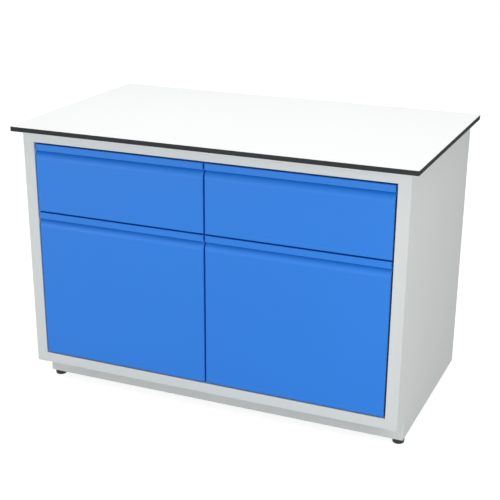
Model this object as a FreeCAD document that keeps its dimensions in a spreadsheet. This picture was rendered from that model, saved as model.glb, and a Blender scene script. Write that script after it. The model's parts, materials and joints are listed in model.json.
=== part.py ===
import FreeCAD, Part
import Sketcher
import os
import re

# Steel drawer bench. Millimetres, +Z up, front towards -Y.
# The origin is on the floor under the middle of the worktop.

doc = FreeCAD.newDocument("drawer_bench")
sizes = doc.addObject("Spreadsheet::Sheet", "Sizes")

drivingSizes = [
    # overall
    ("benchWidth", 1300, "worktop, left to right"),
    ("benchDepth", 760, "worktop, front to back"),
    ("benchHeight", 895, "floor to the worktop's upper face"),
    # worktop
    ("topThickness", 16, "whole board with both skins"),
    ("skinThickness", 0.8, "white skin on each face of the board"),
    ("topCorner", 4, "radius of the board's upright corners"),
    ("skinEdge", 0.3, "rounding along the rim of the skins"),
    ("sideOverhang", 26, "worktop past the case, each side"),
    ("frontOverhang", 30, "worktop past the case, front"),
    ("rearOverhang", 14, "worktop past the case, rear"),
    # case
    ("sheet", 1.2, "steel of the case and the fronts"),
    ("bend", 0.8, "inner radius of a fold in the case"),
    ("stileWidth", 38, "face of each stile"),
    ("stileReturn", 25, "depth of the stile's inner return and of the rails' inner flanges"),
    ("rearReturn", 20, "side panel's return at the rear"),
    ("railHeight", 35, "face of the top rail"),
    ("bottomRailHeight", 33, "face of the bottom rail"),
    ("seatFlange", 60, "flange that the worktop or the floor panel sits on"),
    ("floorGap", 2, "floor panel behind the stile returns"),
    ("partitionThickness", 20, "centre partition"),
    ("partitionGap", 4, "from the fronts to the partition"),
    ("postWidth", 40, "runner post, along the depth"),
    ("rearPostInset", 95, "rear post's back edge ahead of the case's rear"),
    # plinth
    ("plinthHeight", 70, "plinth under the bottom rail"),
    ("plinthRecess", 78, "plinth behind the case's front"),
    ("plinthReturn", 30, "plinth's side return"),
    ("plinthBend", 3, "inner radius of the plinth's corners"),
    ("plinthFlange", 20, "plinth's top flange"),
    ("weldGap", 0.3, "gap along the plinth's return"),
    ("footClearance", 21, "floor to the plinth's lower edge"),
    # drawer fronts
    ("frontGap", 5, "gap around and between the fronts"),
    ("upperFrontHeight", 218, "front of an upper drawer"),
    ("frontDepth", 22, "front with its liner"),
    ("liner", 1, "sheet of the liner"),
    ("linerInset", 1.5, "liner in from the front's outline"),
    ("gripHeight", 40, "top of the front to the corner where the face turns into the grip"),
    ("gripFlat", 13, "straight part of the grip's back wall"),
    ("lipHeight", 20, "grip lip"),
    ("lipHem", 8, "hem behind the lip"),
    ("frontBend", 1, "inner radius of the front's folds"),
    ("gripBend", 30, "outer radius where the face turns into the grip"),
    ("gripCorner", 5, "radius between the grip's slope and its back wall"),
    ("sideRound", 3, "rounding of the front's upright edges"),
    # drawer boxes
    ("runnerSpace", 13, "room for one runner"),
    ("boxSheet", 1, "steel of the drawer boxes"),
    ("boxBend", 0.6, "inner radius of the folds of the boxes"),
    ("boxLength", 600, "tray, front to back"),
    ("boxRise", 15, "lower edge of the front to the tray"),
    ("boxHem", 8, "inward flange along the tray's top"),
    ("wallFlange", 15, "flanges of the box's front and back walls"),
    ("upperBoxHeight", 150, "tray of an upper drawer"),
    ("lowerBoxHeight", 380, "tray of a lower drawer"),
    ("upperRunnerRise", 45, "tray's underside to the runner's middle, upper"),
    ("lowerRunnerRise", 160, "tray's underside to the runner's middle, lower"),
    # runners
    ("railLength", 600, "each runner member"),
    ("railStart", 3, "runner behind the front's liner"),
    ("railGauge", 1.2, "steel of the runner members"),
    ("railTall", 45, "cabinet member"),
    ("railGap", 0.6, "ball gap between members"),
    ("cabinetRailDepth", 9, "cabinet member, across"),
    ("middleRailStart", 4, "middle member's web from the cabinet side"),
    ("middleRailEnd", 10.5, "middle member's flanges end"),
    # feet
    ("footInset", 20.3, "front foot's axis from the case's side"),
    ("footBehindPlinth", 27, "front foot's axis behind the plinth's face"),
    ("rearFootInset", 84, "rear foot's axis from the case's side"),
    ("padRadius", 18.5, "foot pad"),
    ("padHeight", 26, "foot pad"),
    ("padEdge", 4, "rounding of the pad's lower edge"),
    ("padTopEdge", 1.2, "rounding of the pad's upper edge"),
    ("stemRadius", 4.9, "stem over its thread"),
    ("stemTop", 76, "floor to the stem's end"),
    ("discRadius", 8, "disc at the stem's lower end"),
    ("discStart", 8, "floor to the disc"),
    ("discHeight", 4, "disc"),
    ("stemPlay", 0.3, "stem to its socket, nut and bracket"),
    ("bracketLevel", 45, "floor to the bracket's underside"),
    ("bracketPlate", 4, "bracket"),
    ("bracketHalf", 22, "half the bracket's width"),
    ("bracketTall", 36, "bracket's upright leg"),
    ("nutHeight", 6, "lock nut"),
    ("nutFlats", 16, "lock nut across flats"),
    # screws
    ("topScrewRadius", 2.3, "worktop screw's shank"),
    ("topScrewLength", 14, "worktop screw under its head"),
    ("topScrewSetback", 45, "worktop screw from the case's front and rear"),
    ("topScrewOuter", 540, "outer worktop screws from the middle"),
    ("topScrewInner", 200, "inner worktop screws from the middle"),
    ("sheetScrewRadius", 2, "sheet-metal screw's shank"),
    ("sheetScrewLength", 8, "sheet-metal screw under its head"),
    ("backScrewInset", 10, "back panel screws from the case's side"),
    ("wallScrewSide", 200, "drawer screws from the drawer's middle"),
    ("wallScrewRise", 30, "drawer screws from the wall's lower and upper edge"),
    ("headRadius", 4.5, "screw heads"),
    ("headHeight", 2.2, "screw heads"),
    ("headEdge", 0.8, "rounding of the screw heads"),
    ("screwPlay", 0.05, "shank to its hole"),
]

for row, (alias, value, note) in enumerate(drivingSizes, start=1):
    sizes.set(f"A{row}", alias)
    sizes.set(f"B{row}", str(value))
    sizes.setAlias(f"B{row}", alias)
    sizes.set(f"C{row}", note)
doc.recompute()

drivingNames = {alias for alias, value, note in drivingSizes}

# Places worked out from the driving sizes
places = {
    "worktopUnder": "benchHeight - topThickness",
    "caseHalf": "benchWidth / 2 - sideOverhang",
    "skinHalf": "caseHalf - sheet",
    "caseFront": "frontOverhang - benchDepth / 2",
    "caseRear": "benchDepth / 2 - rearOverhang",
    "openingHalf": "caseHalf - stileWidth",
    "railHalf": "openingHalf + bend + sheet",
    "openingTop": "worktopUnder - railHeight",
    "openingBottom": "footClearance + plinthHeight + bottomRailHeight",
    "caseBottom": "footClearance + plinthHeight",
    "floorLevel": "caseBottom + sheet",
    "insideBottom": "floorLevel + sheet",
    "insideTop": "worktopUnder - sheet",
    "backFace": "caseRear - 2 * sheet",
    "plinthFace": "caseFront + plinthRecess",
    "frontWidth": "(2 * openingHalf - 3 * frontGap) / 2",
    "upperTop": "openingTop - frontGap",
    "lowerTop": "upperTop - upperFrontHeight - frontGap",
    "lowerFrontHeight": "lowerTop - openingBottom - frontGap",
    "skinDepth": "frontDepth - liner",
    "gripDepth": "skinDepth - sheet",
    "gripSlant": "sheet * tan(atan(gripDepth / (gripHeight - gripFlat)) / 2)",
    "boxFront": "caseFront + frontDepth",
    "boxWidth": "openingHalf - partitionThickness / 2 - 2 * runnerSpace",
    "boxMiddle": "(openingHalf + partitionThickness / 2) / 2",
    "railFront": "boxFront + railStart",
    "footWall": "footInset - sheet",
    "frontFootX": "caseHalf - footInset",
    "frontFootY": "plinthFace + footBehindPlinth",
    "rearFootX": "caseHalf - rearFootInset",
    "rearFootY": "backFace - sheet - footWall",
    "boreRadius": "stemRadius + stemPlay",
}


def expand(text):
    # Writes a size or place out as an expression on the sheet's cells.
    def word(match):
        name = match.group(0)
        if name in places:
            return "(" + expand(places[name]) + ")"
        if name in drivingNames:
            return "Sizes." + name
        return name
    return re.sub(r"[A-Za-z]\w*", word, text)


def number(text):
    value = sizes.evalExpression(expand(text))
    return float(getattr(value, "Value", value))


def bind(thing, **properties):
    for name, text in properties.items():
        thing.setExpression(name, expand(text))


def locate(thing, x="0", y="0", z="0"):
    for axis, text in zip("xyz", (x, y, z)):
        thing.setExpression("Placement.Base." + axis, expand(text))
    return thing


def block(label, lengths, corner):
    thing = doc.addObject("Part::Box", "block")
    thing.Label = label
    bind(thing, Length=lengths[0], Width=lengths[1], Height=lengths[2])
    return locate(thing, *corner)


def rod(label, radius, height, base):
    thing = doc.addObject("Part::Cylinder", "rod")
    thing.Label = label
    bind(thing, Radius=radius, Height=height)
    return locate(thing, *base)


def joined(label, things):
    thing = doc.addObject("Part::MultiFuse", "joined")
    thing.Label = label
    thing.Shapes = things
    return thing


def group(label, things):
    thing = doc.addObject("Part::Compound", "group")
    thing.Label = label
    thing.Links = things
    return thing


def cutFrom(label, base, tool):
    thing = doc.addObject("Part::Cut", "cut")
    thing.Label = label
    thing.Base = base
    thing.Tool = tool
    return thing


def planeOf(body, role):
    for feature in body.Origin.OriginFeatures:
        if feature.Role == role:
            return feature
    raise RuntimeError("no plane " + role)


def outlineSketch(body, role, outline):
    # A closed outline whose corners are each held by two dimensions from the origin.
    sketch = body.newObject("Sketcher::SketchObject", "outline")
    sketch.AttachmentSupport = (planeOf(body, role), [""])
    sketch.MapMode = "FlatFace"
    corners = [FreeCAD.Vector(number(u), number(v), 0) for u, v in outline]
    for index, corner in enumerate(corners):
        sketch.addGeometry(Part.LineSegment(corner, corners[(index + 1) % len(corners)]))
    for index in range(len(corners)):
        following = (index + 1) % len(corners)
        sketch.addConstraint(Sketcher.Constraint("Coincident", index, 2, following, 1))
    for index, texts in enumerate(outline):
        for kind, axis, text in zip(("DistanceX", "DistanceY"), (-2, -1), texts):
            if abs(number(text)) < 1e-9:
                sketch.addConstraint(Sketcher.Constraint("PointOnObject", index, 1, axis))
            else:
                held = sketch.addConstraint(
                    Sketcher.Constraint(kind, -1, 1, index, 1, number(text)))
                sketch.setExpression(f"Constraints[{held}]", expand(text))
    return sketch


def extruded(label, role, outline, length, both=False):
    # A body made by pushing an outline along the plane's positive axis, or evenly both ways.
    body = doc.addObject("PartDesign::Body", "body")
    body.Label = label
    sketch = outlineSketch(body, role, outline)
    pad = body.newObject("PartDesign::Pad", "pad")
    pad.Profile = sketch
    bind(pad, Length=length)
    if both:
        pad.Midplane = True
    elif role == "XZ_Plane":
        pad.Reversed = True
    doc.recompute()
    return body


def turned(label, outline):
    # A body turned about the Z axis from an outline in X and Z.
    body = doc.addObject("PartDesign::Body", "body")
    body.Label = label
    sketch = outlineSketch(body, "XZ_Plane", outline)
    turning = body.newObject("PartDesign::Revolution", "turning")
    turning.Profile = sketch
    turning.ReferenceAxis = (sketch, ["V_Axis"])
    turning.Angle = 360
    doc.recompute()
    return body


def rounded(body, radius, chosen):
    # Rounds the edges for which chosen(edge) holds.
    base = body.Tip
    edges = ["Edge%d" % (index + 1) for index, edge in enumerate(base.Shape.Edges) if chosen(edge)]
    fillet = body.newObject("PartDesign::Fillet", "rounding")
    fillet.Base = (base, edges)
    bind(fillet, Radius=radius)
    doc.recompute()
    return body


def along(edge, axis):
    direction = edge.Vertexes[-1].Point - edge.Vertexes[0].Point
    length = direction.Length
    return length > 1e-6 and abs(abs(getattr(direction, axis)) - length) < 1e-6


def foldEdges(axis, corners):
    # Chooses straight edges along an axis that stand at the given corners of the outline.
    first, second = [name for name in "xyz" if name != axis]
    targets = [(number(u), number(v)) for u, v in corners]

    def chosen(edge):
        if not along(edge, axis):
            return False
        point = edge.Vertexes[0].Point
        return any(abs(getattr(point, first) - u) < 1e-4 and abs(getattr(point, second) - v) < 1e-4
                   for u, v in targets)
    return chosen


def foldedOutline(path, gauge, side):
    # Outline of a sheet folded square along a path, its thickness to the left (+1) or right (-1).
    # Returns the outline, the outer corners of its folds and the inner ones.
    points = [(number(u), number(v)) for u, v in path]
    normals = []
    for (u0, v0), (u1, v1) in zip(points, points[1:]):
        du = (u1 > u0 + 1e-6) - (u1 < u0 - 1e-6)
        dv = (v1 > v0 + 1e-6) - (v1 < v0 - 1e-6)
        normals.append((-dv * side, du * side))
    offset, outer, inner = [], [], []
    for index, (u, v) in enumerate(path):
        if index == 0:
            shift = normals[0]
        elif index == len(path) - 1:
            shift = normals[-1]
        else:
            before, after = normals[index - 1], normals[index]
            shift = (before[0] + after[0], before[1] + after[1])
        moved = (f"{u} + {shift[0]} * {gauge}", f"{v} + {shift[1]} * {gauge}")
        offset.append(moved)
        if 0 < index < len(path) - 1:
            before, after = normals[index - 1], normals[index]
            turn = (before[0] * after[1] - before[1] * after[0]) * side
            outer.append((u, v) if turn > 0 else moved)
            inner.append(moved if turn > 0 else (u, v))
    return list(path) + offset[::-1], outer, inner


def folded(label, role, path, length, gauge="sheet", radius="bend", side=1, both=False):
    # A sheet folded along a path and pushed along the plane's axis, with its folds rounded.
    outline, outer, inner = foldedOutline(path, gauge, side)
    body = extruded(label, role, outline, length, both)
    axis = {"XY_Plane": "z", "XZ_Plane": "y", "YZ_Plane": "x"}[role]
    rounded(body, f"{radius} + {gauge}", foldEdges(axis, outer))
    rounded(body, radius, foldEdges(axis, inner))
    return body


def mirrorX(path, sign):
    return path if sign > 0 else [(f"-({u})", v) for u, v in path]


# Worktop -----------------------------------------------------------------------------------------

topScrewPlaces = [(x, y) for y in ("caseFront + topScrewSetback", "caseRear - topScrewSetback")
                  for x in ("-topScrewOuter", "-topScrewInner", "topScrewInner", "topScrewOuter")]


def screw(label, radius, length):
    # A pan-head screw standing on its head: the head's seat is at Z = 0 and the shank points up.
    outline = [("0", "-headHeight"), ("headRadius", "-headHeight"), ("headRadius", "0"),
               (radius, "0"), (radius, length), ("0", length)]
    body = turned(label, outline)
    rim = number("headRadius")
    low = -number("headHeight")

    def headRim(edge):
        point = edge.Vertexes[0].Point
        return not edge.Curve.TypeId.endswith("Line") and abs(point.z - low) < 1e-4 and (
            abs((point.x ** 2 + point.y ** 2) ** 0.5 - rim) < 1e-4)
    return rounded(body, "headEdge", headRim)


def topScrewHoles():
    return joined("worktop_screw_holes", [
        rod(f"worktop_screw_hole_{index}", "topScrewRadius + screwPlay", "topScrewLength + sheet",
            (x, y, "insideTop - sheet"))
        for index, (x, y) in enumerate(topScrewPlaces)])


def slab(label, thickness, level):
    outline = [("-benchWidth / 2", "-benchDepth / 2"), ("benchWidth / 2", "-benchDepth / 2"),
               ("benchWidth / 2", "benchDepth / 2"), ("-benchWidth / 2", "benchDepth / 2")]
    body = extruded(label, "XY_Plane", outline, thickness)
    rounded(body, "topCorner", lambda edge: along(edge, "z"))
    return locate(body, z=level)


def skin(label, level, outerFace):
    body = slab(label, "skinThickness", level)
    height = number(outerFace)
    return rounded(body, "skinEdge",
                   lambda edge: all(abs(v.Point.z - height) < 1e-6 for v in edge.Vertexes))


topHoles = topScrewHoles()
core = slab("worktop_core_blank", "topThickness - 2 * skinThickness", "worktopUnder + skinThickness")
lowerSkin = skin("worktop_lower_skin_blank", "worktopUnder", "0")
nodes = [
    cutFrom("worktop_core", core, topHoles),
    skin("worktop_upper_skin", "benchHeight - skinThickness", "skinThickness"),
    cutFrom("worktop_lower_skin", lowerSkin, topHoles),
]
topScrews = [locate(screw(f"worktop_screw_{index}", "topScrewRadius", "topScrewLength"),
                    x, y, "insideTop")
             for index, (x, y) in enumerate(topScrewPlaces)]
nodes.append(group("worktop_screws", topScrews))


# Case --------------------------------------------------------------------------------------------

backScrewLevels = ["footClearance + 40", "openingBottom + 130", "lowerTop - 170",
                   "upperTop - 190", "worktopUnder - 30"]
backScrewPlaces = [(f"{sign} * (caseHalf - backScrewInset)", level)
                   for sign in (-1, 1) for level in backScrewLevels]


def backHole(index, x, level):
    hole = rod(f"back_screw_hole_{index}", "sheetScrewRadius + screwPlay", "6 * sheet",
               (x, "caseRear + sheet", level))
    hole.Placement.Rotation = FreeCAD.Rotation(FreeCAD.Vector(1, 0, 0), 90)
    return hole


backHoles = joined("back_screw_holes",
                   [backHole(index, x, level) for index, (x, level) in enumerate(backScrewPlaces)])


def sidePanel(name, sign):
    # Seen from above: rear return, outer skin, stile and the stile's inner return.
    path = mirrorX([
        ("caseHalf - rearReturn", "caseRear"), ("caseHalf", "caseRear"), ("caseHalf", "caseFront"),
        ("openingHalf", "caseFront"), ("openingHalf", "caseFront + stileReturn")], sign)
    panel = folded(f"side_panel_{name}_blank", "XY_Plane", path, "worktopUnder - footClearance",
                   side=-sign)
    locate(panel, z="footClearance")
    notch = block(f"toe_notch_{name}",
                  ("stileWidth + 2 * sheet", "plinthRecess + plinthReturn + weldGap + sheet",
                   "plinthHeight + sheet"),
                  (f"{sign} * (caseHalf + openingHalf) / 2 - stileWidth / 2 - sheet",
                   "caseFront - sheet", "footClearance - sheet"))
    # The stile's fold and inner return stand beside the opening only; the rails take their place.
    clearings = [block(f"{place}_rail_clearing_{name}",
                       ("railHalf - openingHalf + sheet", "stileReturn + 2 * sheet", height),
                       (f"{sign} * (railHalf + openingHalf - sheet) / 2"
                        " - (railHalf - openingHalf + sheet) / 2", "caseFront - sheet", base))
                 for place, base, height in (("top", "openingTop", "railHeight + sheet"),
                                             ("bottom", "openingBottom - bottomRailHeight - sheet",
                                              "bottomRailHeight + sheet"))]
    notched = cutFrom(f"side_panel_{name}_notched", panel,
                      joined(f"side_panel_{name}_clearings", [notch] + clearings))
    drilled = cutFrom(f"side_panel_{name}_drilled", notched, backHoles)
    closer = block(f"toe_closer_{name}",
                   ("skinHalf - railHalf", "plinthRecess + plinthReturn - sheet", "sheet"),
                   (f"{sign} * (skinHalf + railHalf) / 2 - (skinHalf - railHalf) / 2",
                    "caseFront + sheet", "caseBottom"))
    return joined(f"side_panel_{name}", [drilled, closer])


def topRail(label, path, length, side):
    rail = folded(label + "_blank", "YZ_Plane", path, length, side=side, both=True)
    return cutFrom(label, rail, topHoles)


nodes += [sidePanel("left", -1), sidePanel("right", 1)]
nodes.append(topRail("front_top_rail", [
    ("caseFront + seatFlange", "worktopUnder"), ("caseFront", "worktopUnder"),
    ("caseFront", "openingTop"), ("caseFront + stileReturn", "openingTop")],
    "2 * railHalf", 1))
nodes.append(topRail("rear_top_rail", [
    ("backFace - seatFlange", "worktopUnder"), ("backFace", "worktopUnder"),
    ("backFace", "openingTop")], "2 * openingHalf", -1))
nodes.append(folded("front_bottom_rail", "YZ_Plane", [
    ("caseFront + stileReturn", "openingBottom"), ("caseFront", "openingBottom"),
    ("caseFront", "caseBottom"), ("plinthFace + plinthFlange", "caseBottom")],
    "2 * railHalf", side=1, both=True))

backPanel = block("back_panel_blank",
                  ("2 * (skinHalf - bend)", "sheet", "worktopUnder - footClearance"),
                  ("bend - skinHalf", "backFace", "footClearance"))
nodes.append(cutFrom("back_panel", backPanel, backHoles))


def backScrew(index, x, level):
    body = screw(f"back_screw_{index}", "sheetScrewRadius", "sheetScrewLength")
    body.Placement.Rotation = FreeCAD.Rotation(FreeCAD.Vector(1, 0, 0), 90)
    return locate(body, x, "caseRear", level)


nodes.append(group("back_panel_screws", [backScrew(index, x, level)
                                         for index, (x, level) in enumerate(backScrewPlaces)]))
nodes.append(block("floor_panel", ("2 * skinHalf", "backFace - caseFront - stileReturn - floorGap",
                                   "sheet"),
                   ("-skinHalf", "caseFront + stileReturn + floorGap", "floorLevel")))

partitionFront = "max(boxFront + partitionGap; caseFront + stileReturn + weldGap)"
partitionRear = "backFace - sheet - bend"
partitionOuter = extruded("partition_outer", "XY_Plane", [
    ("-partitionThickness / 2", partitionFront), ("partitionThickness / 2", partitionFront),
    ("partitionThickness / 2", partitionRear), ("-partitionThickness / 2", partitionRear)],
    "insideTop - insideBottom")
rounded(partitionOuter, "bend + sheet", lambda edge: along(edge, "z"))
locate(partitionOuter, z="insideBottom")
partitionInner = block("partition_inner",
                       ("partitionThickness - 2 * sheet",
                        f"{partitionRear} - ({partitionFront}) - 2 * sheet",
                        "insideTop - insideBottom + 2 * sheet"),
                       ("sheet - partitionThickness / 2", f"{partitionFront} + sheet",
                        "insideBottom - sheet"))
nodes.append(cutFrom("centre_partition", partitionOuter, partitionInner))


def runnerPost(label, sign, start):
    # An open post against the side panel, its web flush with the stile's return.
    path = mirrorX([("skinHalf", f"{start} + postWidth"), ("openingHalf", f"{start} + postWidth"),
                    ("openingHalf", start), ("skinHalf", start)], sign)
    post = folded(label, "XY_Plane", path, "openingTop - insideBottom", side=sign)
    return locate(post, z="insideBottom")


postStarts = {"front": "caseFront + stileReturn + floorGap",
              "rear": "caseRear - rearPostInset - postWidth"}
nodes.append(group("runner_posts", [runnerPost(f"{place}_post_{name}", sign, start)
                                    for name, sign in (("left", -1), ("right", 1))
                                    for place, start in postStarts.items()]))


# Plinth ------------------------------------------------------------------------------------------

plinthSkin = folded("plinth_skin", "XY_Plane", [
    ("-caseHalf", "plinthFace + plinthReturn"), ("-caseHalf", "plinthFace"),
    ("caseHalf", "plinthFace"), ("caseHalf", "plinthFace + plinthReturn")],
    "plinthHeight", radius="plinthBend", side=1)
locate(plinthSkin, z="footClearance")
plinthTop = block("plinth_top_flange", ("2 * openingHalf", "plinthFlange - sheet", "sheet"),
                  ("-openingHalf", "plinthFace + sheet", "caseBottom - sheet"))
nodes.append(joined("plinth_panel", [plinthSkin, plinthTop]))
rearRail = folded("rear_plinth_rail_blank", "YZ_Plane", [
    ("backFace - seatFlange", "floorLevel"), ("backFace", "floorLevel"),
    ("backFace", "bracketLevel - bracketPlate")], "2 * skinHalf", side=-1, both=True)
nodes.append(cutFrom("rear_plinth_rail", rearRail, backHoles))


# Levelling feet ----------------------------------------------------------------------------------

feet = {
    "front_left": ("-(frontFootX)", "frontFootY", 180),
    "front_right": ("frontFootX", "frontFootY", 0),
    "rear_left": ("-(rearFootX)", "rearFootY", 90),
    "rear_right": ("rearFootX", "rearFootY", 90),
}


def ringEdge(radius, level):
    def chosen(edge):
        point = edge.Vertexes[0].Point
        return (not edge.Curve.TypeId.endswith("Line")
                and abs(point.z - number(level)) < 1e-4
                and abs((point.x ** 2 + point.y ** 2) ** 0.5 - number(radius)) < 1e-4)
    return chosen


def footPad(name, x, y):
    socket = "discRadius + stemPlay"
    pad = turned(f"foot_pad_{name}", [
        ("0", "0"), ("padRadius", "0"), ("padRadius", "padHeight"), ("boreRadius", "padHeight"),
        ("boreRadius", "discStart + discHeight + stemPlay"),
        (socket, "discStart + discHeight + stemPlay"), (socket, "discStart - stemPlay"),
        ("0", "discStart - stemPlay")])
    rounded(pad, "padEdge", ringEdge("padRadius", "0"))
    rounded(pad, "padTopEdge", ringEdge("padRadius", "padHeight"))
    return locate(pad, x, y)


def footStem(name, x, y):
    stem = turned(f"foot_stem_{name}", [
        ("0", "discStart"), ("discRadius", "discStart"), ("discRadius", "discStart + discHeight"),
        ("stemRadius", "discStart + discHeight"), ("stemRadius", "stemTop"), ("0", "stemTop")])
    return locate(stem, x, y)


def footBracket(name, x, y, angle):
    # An angle whose upright leg stands against the wall that lies towards +X before it is turned.
    path = [("-bracketHalf", "0"), ("footWall", "0"), ("footWall", "bracketTall")]
    angleBody = folded(f"foot_bracket_{name}_blank", "XZ_Plane", path, "2 * bracketHalf",
                       gauge="bracketPlate", radius="sheet", side=1)
    centred = locate(angleBody, y="-bracketHalf")
    hole = rod(f"foot_bracket_{name}_hole", "boreRadius", "3 * bracketPlate",
               ("0", "0", "-bracketPlate"))
    bracket = cutFrom(f"foot_bracket_{name}", centred, hole)
    bracket.Placement.Rotation = FreeCAD.Rotation(FreeCAD.Vector(0, 0, 1), angle)
    return locate(bracket, x, y, "bracketLevel")


def lockNut(name, x, y):
    prism = doc.addObject("Part::Prism", "prism")
    prism.Label = f"foot_lock_nut_{name}_prism"
    prism.Polygon = 6
    bind(prism, Circumradius="nutFlats / sqrt(3)", Height="nutHeight")
    locate(prism, x, y, "bracketLevel - nutHeight")
    hole = rod(f"foot_lock_nut_{name}_hole", "boreRadius", "3 * nutHeight",
               (x, y, "bracketLevel - 2 * nutHeight"))
    return cutFrom(f"foot_lock_nut_{name}", prism, hole)


for name, (x, y, angle) in feet.items():
    nodes += [footPad(name, x, y), footStem(name, x, y)]
nodes.append(group("foot_brackets", [footBracket(name, x, y, angle)
                                     for name, (x, y, angle) in feet.items()]))
nodes.append(group("foot_lock_nuts", [lockNut(name, x, y) for name, (x, y, angle) in feet.items()]))


# Drawers -----------------------------------------------------------------------------------------

def drawerFront(label, height, x, top):
    # Y is the depth from the face and Z runs down from the front's top.
    kink = ("0", "-gripHeight")
    shoulder = ("gripDepth", "-gripFlat")
    outline = [
        ("0", "-lipHeight"), ("0", "0"), ("skinDepth", "0"), ("skinDepth", "-gripFlat - gripSlant"),
        ("sheet", "-gripHeight - gripSlant"), ("sheet", f"sheet - ({height})"),
        ("skinDepth", f"sheet - ({height})"), ("skinDepth", f"-({height})"), ("0", f"-({height})"),
        kink, shoulder, ("gripDepth", "-sheet"), ("sheet", "-sheet"),
        ("sheet", "lipHem - lipHeight"), ("2 * sheet", "lipHem - lipHeight"),
        ("2 * sheet", "-lipHeight")]
    body = extruded(label + "_blank", "YZ_Plane", outline, "frontWidth", both=True)
    rounded(body, "gripBend - sheet", foldEdges("x", [("sheet", "-gripHeight - gripSlant")]))
    end = body.newObject("PartDesign::Pad", "end")
    end.Profile = outlineSketch(body, "YZ_Plane", [
        ("sheet / 2", f"sheet / 2 - ({height})"), ("skinDepth", f"sheet / 2 - ({height})"),
        ("skinDepth", "-gripFlat - gripSlant"), ("sheet / 2", "-gripHeight - gripSlant")])
    end.Profile[0].AttachmentOffset = FreeCAD.Placement(
        FreeCAD.Vector(0, 0, number("frontWidth / 2 - sheet")), FreeCAD.Rotation())
    end.Profile[0].setExpression("AttachmentOffset.Base.z", expand("frontWidth / 2 - sheet"))
    bind(end, Length="sheet")
    doc.recompute()
    pair = body.newObject("PartDesign::Mirrored", "ends")
    pair.Originals = [end]
    pair.MirrorPlane = (planeOf(body, "YZ_Plane"), [""])
    body.Tip = pair
    doc.recompute()
    rounded(body, "gripBend", foldEdges("x", [kink]))
    rounded(body, "gripCorner", foldEdges("x", [shoulder]))
    rounded(body, "frontBend + sheet", foldEdges("x", [("0", "0"), ("skinDepth", "0"),
                                                      ("0", f"-({height})")]))
    rounded(body, "frontBend", foldEdges("x", [("gripDepth", "-sheet"), ("sheet", "-sheet")]))
    rounded(body, "sheet / 2", foldEdges("x", [("0", "-lipHeight"), ("2 * sheet", "-lipHeight")]))
    locate(body, x, "caseFront", top)
    corners = []
    for sign in (-1, 1):
        middle = f"{x} + {sign} * (frontWidth / 2 - sideRound)"
        corner = block(f"{label}_corner_{sign}",
                       ("sideRound + sheet", "sideRound + sheet", f"{height} + 2 * sheet"),
                       (f"{middle} + ({sign} - 1) / 2 * (sideRound + sheet)", "caseFront - sheet",
                        f"{top} - {height} - sheet"))
        inner = rod(f"{label}_corner_inner_{sign}", "sideRound", f"{height} + 4 * sheet",
                    (middle, "caseFront + sideRound", f"{top} - {height} - 2 * sheet"))
        corners.append(cutFrom(f"{label}_corner_cutter_{sign}", corner, inner))
    return cutFrom(label, body, joined(f"{label}_corners", corners))


def drawerTray(label, height, x, level):
    # Bottom and sides folded from one sheet, with an inward flange along each top edge.
    half = "boxWidth / 2"
    path = [(f"boxHem - {half}", height), (f"-{half}", height), (f"-{half}", "0"),
            (half, "0"), (half, height), (f"{half} - boxHem", height)]
    tray = folded(label, "XZ_Plane", path, "boxLength", gauge="boxSheet", radius="boxBend", side=1)
    return locate(tray, x, "boxFront", level)


def drawerWall(label, height, x, level, face, inward):
    # A front or back wall between the tray's sides, its flanges pointing into the box.
    half = "boxWidth / 2 - boxSheet"
    path = [(f"-({half})", f"{inward} * wallFlange"), (f"-({half})", "0"), (half, "0"),
            (half, f"{inward} * wallFlange")]
    wall = folded(label, "XY_Plane", path, f"{height} - 2 * (boxSheet + boxBend)",
                  gauge="boxSheet", radius="boxBend", side=inward)
    return locate(wall, x, face, f"{level} + boxSheet + boxBend")


def wallScrews(label, places):
    # Heads inside the box; the shanks pass the wall and the liner and end inside the front.
    screws = []
    holes = []
    for index, (x, z) in enumerate(places):
        body = screw(f"{label}_{index}", "sheetScrewRadius", "sheetScrewLength")
        body.Placement.Rotation = FreeCAD.Rotation(FreeCAD.Vector(1, 0, 0), 90)
        screws.append(locate(body, x, "boxFront + boxSheet", z))
        hole = rod(f"{label}_hole_{index}", "sheetScrewRadius + screwPlay", "sheetScrewLength",
                   (x, "boxFront + 2 * boxSheet", z))
        hole.Placement.Rotation = FreeCAD.Rotation(FreeCAD.Vector(1, 0, 0), 90)
        holes.append(hole)
    return group(label, screws), joined(f"{label}_holes", holes)


railProfiles = {
    # across from the cabinet side to the drawer side, and half the height of each member
    "cabinet": ("0", "cabinetRailDepth", "railTall / 2"),
    "middle": ("middleRailStart", "middleRailEnd", "railTall / 2 - railGauge - railGap"),
    "drawer": ("runnerSpace", "middleRailStart + railGauge + railGap",
               "railTall / 2 - 2 * railGauge - 2 * railGap"),
}


def railPair(label, member, sign, level):
    # The two runners of one drawer: outer against the post, inner against the partition.
    web, tips, half = railProfiles[member]
    pair = []
    for edge, wall, inward in (("outer", "openingHalf", -1), ("inner", "partitionThickness / 2", 1)):
        path = [(f"{sign} * ({wall} + {inward} * ({u}))", v)
                for u, v in ((tips, half), (web, half), (web, f"-({half})"), (tips, f"-({half})"))]
        turn = sign * inward * (-1 if member == "drawer" else 1)
        rail = folded(f"{label}_{edge}", "XZ_Plane", path, "railLength", gauge="railGauge",
                      radius="boxBend", side=turn)
        pair.append(locate(rail, y="railFront", z=level))
    return group(label, pair)


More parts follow.
